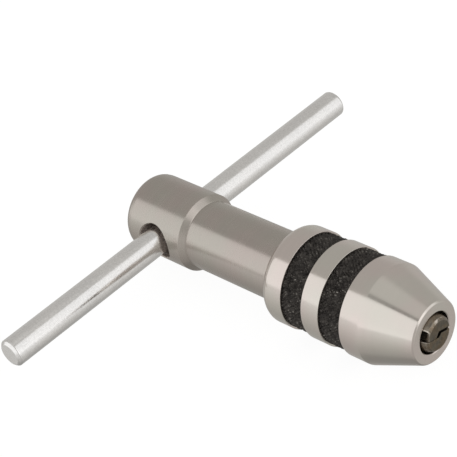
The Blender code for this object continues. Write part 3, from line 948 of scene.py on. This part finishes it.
def slot_colour(name):
    slots = frame["record"]["materials"]
    return tuple(next(m["base_color"] for m in slots if m["slot"] == name))


def shifted(colour, red, green, blue):
    return (colour[0] * red, colour[1] * green, colour[2] * blue)


# ----------------------------------------------------------------- materials
def turned_steel(name, base, roughness, aniso, streak, mottle):
    """Steel turned about X: streaks round the axis and faint changes of colour."""
    g, place = paint(name)
    x, y, z = g.split(place)
    along = g.add(x, g.times(g.radius(y, z), 0.83))   # streaks show on end faces too
    fine = g.noise(g.stretch(along, y, z, by=(9000.0, 60.0, 60.0)), detail=4.0, rough=0.7)
    broad = g.noise(g.stretch(along, y, z, by=(1500.0, 25.0, 25.0)))
    cloud = g.noise(place, scale=210.0)
    hue = g.noise(place, scale=120.0, detail=2.0, rough=0.5)
    streaks = g.add(g.swing(fine, amount=streak), g.swing(broad, amount=streak * 0.9))
    grey = g.vary(g.add(1.0, streaks), cloud, amount=mottle)
    tone = g.tones(hue, ends=(0.36, 0.64), low=shifted(base, 1.02, 0.985, 0.985),
                   high=shifted(base, 0.985, 1.01, 0.985))
    rough = g.vary(roughness, broad, amount=0.14)
    rough = g.vary(rough, cloud, amount=0.08)
    normal = g.bump(g.add(fine, g.times(broad, 0.6)), distance=0.0007)
    return g.metal(g.tint(tone, grey), rough, normal, aniso=aniso, rotation=0.25,
                   tangent=g.tangent("X"))


def plated_bar(name, base):
    """Bright plated bar along Y: lengthwise drawing lines and a light orange-peel."""
    g, place = paint(name)
    x, y, z = g.split(place)
    drawn = g.noise(g.stretch(x, y, z, by=(2600.0, 45.0, 2600.0)))
    cloud = g.noise(place, scale=260.0, detail=4.0)
    grain = g.noise(place, scale=2300.0, detail=2.0)
    peel = g.noise(place, scale=1500.0, detail=2.0, rough=0.5)
    hue = g.noise(place, scale=90.0, detail=2.0, rough=0.5)
    # small dark dots, kept in patches only
    dots = g.span(g.cells(place, scale=900.0), ends=(0.06, 0.14), to=(1.0, 0.0))
    patches = g.span(g.noise(place, scale=500.0, detail=1.0, rough=0.5), ends=(0.56, 0.64))
    dots = g.times(dots, patches)
    grey = g.vary(1.0, drawn, amount=0.10)
    grey = g.vary(grey, cloud, amount=0.12)
    grey = g.vary(grey, grain, amount=0.34)
    grey = g.add(grey, g.times(dots, -0.22))
    # painted light: the end faces and the underside are painted brighter, as if they caught more
    # light
    _, normal_y, normal_z = g.split(g.coord("Normal"))
    end_face = g.span(g.times(normal_y, normal_y), ends=(0.85, 0.97))
    painted_light_lift = g.math("MAXIMUM", end_face, g.span(normal_z, ends=(-0.02, -0.42)))
    grey = g.times(grey, g.add(1.0, g.times(painted_light_lift, 0.10)))
    tone = g.tones(hue, ends=(0.4, 0.62), low=shifted(base, 1.0, 0.995, 0.99),
                   high=shifted(base, 0.985, 0.985, 0.985))
    rough = g.vary(0.20, cloud, amount=0.16)
    rough = g.add(rough, g.times(dots, 0.15))
    normal = g.bump(g.add(g.times(drawn, 0.7), g.times(peel, 1.8)), distance=0.0055)
    return g.metal(g.tint(tone, grey), rough, normal, aniso=0.35, rotation=0.0,
                   tangent=g.tangent("Y"))


def black_band(name):
    """Blackened knurl: sooty grooves, brown-grey and here and there bare crests."""
    g, place = paint(name)
    _, y, z = g.split(place)
    r = g.times(g.radius(y, z), 1.0 / MM)
    crest_start = KNURL_ROOT + 0.55 * (KNURL_CREST - KNURL_ROOT)
    crest = g.span(r, ends=(crest_start, KNURL_CREST), smooth=True)
    patch = g.noise(place, scale=950.0)
    grit = g.noise(place, scale=3200.0, rough=0.65)
    wear = g.add(g.times(patch, 0.6), g.times(grit, 0.4))
    bare = g.times(crest, g.span(wear, ends=(0.50, 0.62)))
    sooty = g.tones(patch, ends=(0.35, 0.65), low=(0.034, 0.030, 0.028),
                    high=(0.078, 0.070, 0.063))
    rubbed = g.tones(grit, ends=(0.4, 0.6), low=(0.15, 0.138, 0.126), high=(0.34, 0.32, 0.29))
    rough = g.math("SUBTRACT", g.span(grit, ends=(0.3, 0.7), to=(0.50, 0.66)),
                   g.times(bare, 0.18))
    normal = g.bump(grit, distance=0.010)
    return g.metal(g.mix(bare, sooty, rubbed), rough, normal, metallic=0.75)


def oxide_jaw(name, base):
    """Blackened jaw steel with a brown bloom, and outer edges painted lighter, partly as polish and
    partly as a painted highlight.
    """
    g, place = paint(name)
    x, y, z = g.split(place)
    r = g.radius(y, z)
    ground = g.noise(g.stretch(g.add(x, r), y, z, by=(5200.0, 200.0, 200.0)))
    bloom = g.noise(place, scale=620.0)
    grit = g.noise(place, scale=4200.0, detail=2.0)
    mottle = g.noise(place, scale=1800.0, rough=0.65)
    colour = g.tones(bloom, ends=(0.36, 0.64), low=shifted(base, 1.12, 0.98, 0.80),
                     high=shifted(base, 0.88, 0.92, 0.96))
    # edges away from the axis are painted lighter, partly as wear and partly as a painted
    # highlight; the rim's ends are radii in metres
    rim = g.span(r, ends=(0.0028, 0.0034))
    worn_edge_and_highlight = g.times(g.span(g.pointiness(), ends=(0.495, 0.545)), rim)
    worn_edge_and_highlight = g.times(worn_edge_and_highlight, g.span(bloom, ends=(0.30, 0.60), to=(0.65, 1.0)))
    colour = g.mix(worn_edge_and_highlight, colour, (0.66, 0.60, 0.53))
    grey = g.vary(1.0, ground, amount=0.5)
    grey = g.vary(grey, mottle, amount=1.3)
    rough = g.span(bloom, ends=(0.3, 0.7), to=(0.20, 0.38))
    normal = g.bump(g.add(g.add(ground, grit), g.times(bloom, 3.0)), distance=0.006)
    return g.metal(g.tint(colour, grey), rough, normal)


def drilled_steel(name, base):
    """Drilled wall: dull, with tool marks round the hole and stray bright flecks."""
    g, place = paint(name)
    x, y, z = g.split(place)
    marks = g.noise(g.stretch(x, y, z, by=(300.0, 3400.0, 300.0)), rough=0.65)
    torn = g.noise(place, scale=1500.0, rough=0.7)
    fleck = g.span(g.times(marks, torn), ends=(0.30, 0.36))
    colour = g.tones(torn, ends=(0.35, 0.65), low=shifted(base, 0.75, 0.72, 0.70),
                     high=shifted(base, 1.15, 1.12, 1.10))
    colour = g.mix(g.times(fleck, 0.7), colour, (0.80, 0.77, 0.74))
    rough = g.span(torn, ends=(0.3, 0.7), to=(0.42, 0.62))
    normal = g.bump(g.add(marks, torn), distance=0.020)
    return g.metal(colour, rough, normal, metallic=0.35)


def wire_steel(name, base):
    g, place = paint(name)
    cloud = g.noise(place, scale=900.0, detail=4.0, rough=0.65)
    grain = g.noise(place, scale=5200.0, detail=2.0, rough=0.5)
    colour = g.tones(cloud, ends=(0.35, 0.65), low=shifted(base, 0.9, 0.88, 0.86),
                     high=shifted(base, 1.08, 1.08, 1.08))
    colour = g.tint(colour, g.span(grain, ends=(0.2, 0.8), to=(0.92, 1.08)))
    rough = g.span(cloud, ends=(0.3, 0.7), to=(0.24, 0.38))
    return g.metal(colour, rough, g.bump(grain, distance=0.002))


def ball_steel(name, base):
    g, place = paint(name)
    cloud = g.noise(place, scale=700.0)
    rubbed = g.noise(place, scale=2500.0)
    colour = g.tint(base, g.span(cloud, ends=(0.3, 0.7), to=(0.95, 1.04)))
    rough = g.span(rubbed, ends=(0.4, 0.7), to=(0.06, 0.16))
    return g.metal(colour, rough, g.bump(rubbed, distance=0.0006))


def screw_steel(name, base):
    g, place = paint(name)
    cloud = g.noise(place, scale=1200.0, detail=4.0, rough=0.65)
    grain = g.noise(place, scale=6000.0, detail=2.0, rough=0.5)
    edge = g.span(g.pointiness(), ends=(0.53, 0.62))
    colour = g.tones(cloud, ends=(0.35, 0.65), low=shifted(base, 0.8, 0.8, 0.82),
                     high=shifted(base, 1.35, 1.3, 1.25))
    colour = g.mix(g.times(edge, 0.5), colour, (0.30, 0.29, 0.28))
    rough = g.span(cloud, ends=(0.3, 0.7), to=(0.36, 0.52))
    return g.metal(colour, rough, g.bump(grain, distance=0.004), metallic=0.85)


def pale_floor(name):
    """Nearly white sheet: mostly its own light, with a little grey."""
    g = Graph(bpy.data.materials.new(name))
    grey = g.node("ShaderNodeBsdfDiffuse", {0: (0.13, 0.13, 0.13, 1)})
    glow = g.node("ShaderNodeEmission", {0: (1, 1, 1, 1), 1: 0.93})
    both = g.node("ShaderNodeAddShader", {0: grey.outputs[0], 1: glow.outputs[0]})
    return g.finish(both)


# ---------------------------------------------------- world, floor and camera
# brightness of the studio's parts, as seen by the metal
SIDE_LIGHT, NOSE_LIGHT, NOSE_CORE_LIGHT = 0.515, 0.43, 0.26   # added by the panels
SIDE_GLOW, NOSE_GLOW, FLOOR_GLOW = 0.29, 0.33, 0.10           # added to the floor
GLOW_DEPTH = 0.80             # downward z at which the floor's glow ends
BRIGHTEST, FRAME_DARK = 1.20, 0.20


def panel(g, direction, azimuth, left, right, top, soft, rim):
    """An upright rectangle on the floor, one unit away at an azimuth in degrees.
    Returns 1 inside it, and 1 within its width at any height; soft and rim are the
    half widths of its blurred side and top edges."""
    x, y, z = direction
    cosine, sine = math.cos(math.radians(azimuth)), math.sin(math.radians(azimuth))
    away = g.add(g.times(x, cosine), g.times(y, sine))
    side = g.math("SUBTRACT", g.times(y, cosine), g.times(x, sine))
    facing = g.math("GREATER_THAN", away, 0.02)
    safe = g.math("MAXIMUM", away, 0.02)
    u, height = g.math("DIVIDE", side, safe), g.math("DIVIDE", z, safe)
    past_left = g.span(u, (left - soft, left + soft), smooth=True)
    before_right = g.span(u, (right - soft, right + soft), to=(1.0, 0.0), smooth=True)
    across = g.times(g.times(past_left, before_right), facing)
    below_top = g.span(height, (top - rim, top + rim), to=(1.0, 0.0), smooth=True)
    return g.times(across, below_top), across


def build_world():
    """Grey studio with a long bright panel beside the tool (-Y), a tall one beyond its
    nose, and their glow on the floor. The camera sees plain white."""
    world = bpy.data.worlds.new("studio")
    bpy.context.scene.world = world
    g = Graph(world)
    direction = g.split(g.coord("Generated"))
    z = direction[2]
    above = g.span(z, ends=(-0.02, 0.02), smooth=True)
    below = g.math("SUBTRACT", 1.0, above)

    side, side_across = panel(g, direction, azimuth=-90, left=-2.1, right=0.76, top=1.80,
                              soft=0.12, rim=0.05)
    nose, nose_across = panel(g, direction, azimuth=36, left=-1.42, right=0.42, top=1.70,
                              soft=0.16, rim=0.30)
    nose_core, _ = panel(g, direction, azimuth=36, left=-1.42, right=-0.30, top=1.70,
                         soft=0.16, rim=0.30)
    # the dark frame along the top of the side panel
    frame_top, _ = panel(g, direction, azimuth=-90, left=-0.30, right=0.9, top=2.75,
                         soft=0.15, rim=0.40)
    frame_low, _ = panel(g, direction, azimuth=-90, left=-0.25, right=0.9, top=1.84,
                         soft=0.15, rim=0.03)
    frame_band = g.times(g.math("SUBTRACT", frame_top, frame_low, clamp=True), above)
    side = g.times(side, above)
    nose = g.times(nose, above)
    nose_core = g.times(nose_core, above)

    # floor: darkest straight down, its glow fading with depth
    fall = g.math("ADD", 1.0, g.math("DIVIDE", z, GLOW_DEPTH), clamp=True)
    nose_only = g.math("SUBTRACT", nose_across, side_across, clamp=True)
    glow = g.add(g.times(side_across, SIDE_GLOW), g.times(nose_only, NOSE_GLOW))
    glow = g.add(FLOOR_GLOW, glow)
    floor = g.span(z, ends=(-0.97, -0.80), to=(0.30, 0.44), smooth=True)
    floor = g.add(floor, g.times(glow, fall))
    # room: lighter overhead and just above the horizon
    room = g.add(g.span(z, ends=(0.86, 0.96), to=(0.485, 0.60), smooth=True),
                 g.span(z, ends=(0.0, 0.35), to=(0.045, 0.0), smooth=True))
    grey = g.add(g.times(room, above), g.times(floor, below))
    nose_lift = g.add(g.times(nose, NOSE_LIGHT), g.times(nose_core, NOSE_CORE_LIGHT))
    level = g.add(grey, g.add(g.times(side, SIDE_LIGHT), nose_lift))
    level = g.math("SUBTRACT", g.math("MINIMUM", level, BRIGHTEST),
                   g.times(frame_band, FRAME_DARK))

    # the darker parts are slightly warm
    tone = g.mix(g.span(level, ends=(0.45, 0.95), smooth=True), (1.0, 0.982, 0.948),
                 (1.0, 1.0, 1.0))
    seen = g.node("ShaderNodeLightPath").outputs["Is Camera Ray"]
    colour = g.mix(seen, tone, (1.0, 1.0, 1.0))
    strength = g.node("ShaderNodeMix", {0: seen, 2: level, 3: 1.0}, data_type="FLOAT")
    background = g.node("ShaderNodeBackground", {0: colour, 1: strength.outputs[0]})
    g.node("ShaderNodeOutputWorld", {0: background.outputs[0]})


def build_floor():
    """Level sheet just under the tool; sizes in metres."""
    half, cells = 4.0, 8
    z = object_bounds()[0].z - 0.00001
    me = bpy.data.meshes.new("floor")
    places = [-half + 2 * half * i / cells for i in range(cells + 1)]
    verts = [(x, y, z) for y in places for x in places]
    row = cells + 1
    faces = [(j * row + i, j * row + i + 1, (j + 1) * row + i + 1, (j + 1) * row + i)
             for j in range(cells) for i in range(cells)]
    me.from_pydata(verts, [], faces)
    floor = new_object("floor", me)
    me.materials.append(pale_floor("pale_floor"))
    # the floor's glow on the metal comes from the world, so only the camera sees the sheet
    floor.visible_diffuse = False
    floor.visible_glossy = False
    floor.visible_transmission = False
    floor.visible_shadow = False


def build_camera():
    cam = bpy.data.cameras.new("camera")
    cam.sensor_fit = "HORIZONTAL"
    cam.sensor_width = 36.0
    cam.lens = 127.874
    cam.clip_start = 0.01
    cam.clip_end = 20.0
    obj = bpy.data.objects.new("camera", cam)
    bpy.context.scene.collection.objects.link(obj)
    # the camera's own axes and its place, in metres
    right = (0.71527, 0.67499, -0.18102)
    up = (-0.30927, 0.53803, 0.78414)
    back = (0.62669, -0.50489, 0.59359)
    position = Vector((0.2307587, -0.1669005, 0.2002902))
    axes = Matrix((right, up, back)).transposed().to_4x4()
    obj.matrix_world = Matrix.Translation(position) @ axes
    bpy.context.scene.camera = obj


def set_view():
    view = bpy.context.scene.view_settings
    view.view_transform = "Standard"
    view.look = "None"
    view.exposure = 0.0
    view.gamma = 1.0


# --------------------------------------------------------------- the object
satin = turned_steel("satin_steel_turned", (0.512, 0.468, 0.432), roughness=0.26,
                     aniso=0.55, streak=0.10, mottle=0.07)
bright = turned_steel("sleeve_steel_turned", (0.715, 0.664, 0.620), roughness=0.18,
                      aniso=0.6, streak=0.055, mottle=0.05)
drilled = drilled_steel("drilled_hole_wall", (0.40, 0.35, 0.32))
black = black_band("black_oxide_knurl")
plated = plated_bar("bright_plated_bar", (0.905, 0.893, 0.880))
oxide = oxide_jaw("oxide_jaw_steel", (0.158, 0.132, 0.098))
spring_wire = wire_steel("spring_wire_drawn", slot_colour("spring_wire"))
bearing = ball_steel("bearing_steel", slot_colour("hard_ball"))
screw_black = screw_steel("black_screw", slot_colour("screw_black"))

build_spindle([satin, drilled])
build_sleeve([bright, black])
build_bar([plated])
build_jaw("jaw_upper_ground", "jaw_upper", "jaw_a", lower=False, materials=[oxide])
build_jaw("jaw_lower_ground", "jaw_lower", "jaw_b", lower=True, materials=[oxide])
build_ball([bearing])
build_detent_spring([spring_wire])
build_set_screw([screw_black])
build_drag_ring([spring_wire])
build_jaw_springs([spring_wire])

build_floor()
build_world()
build_camera()
set_view()
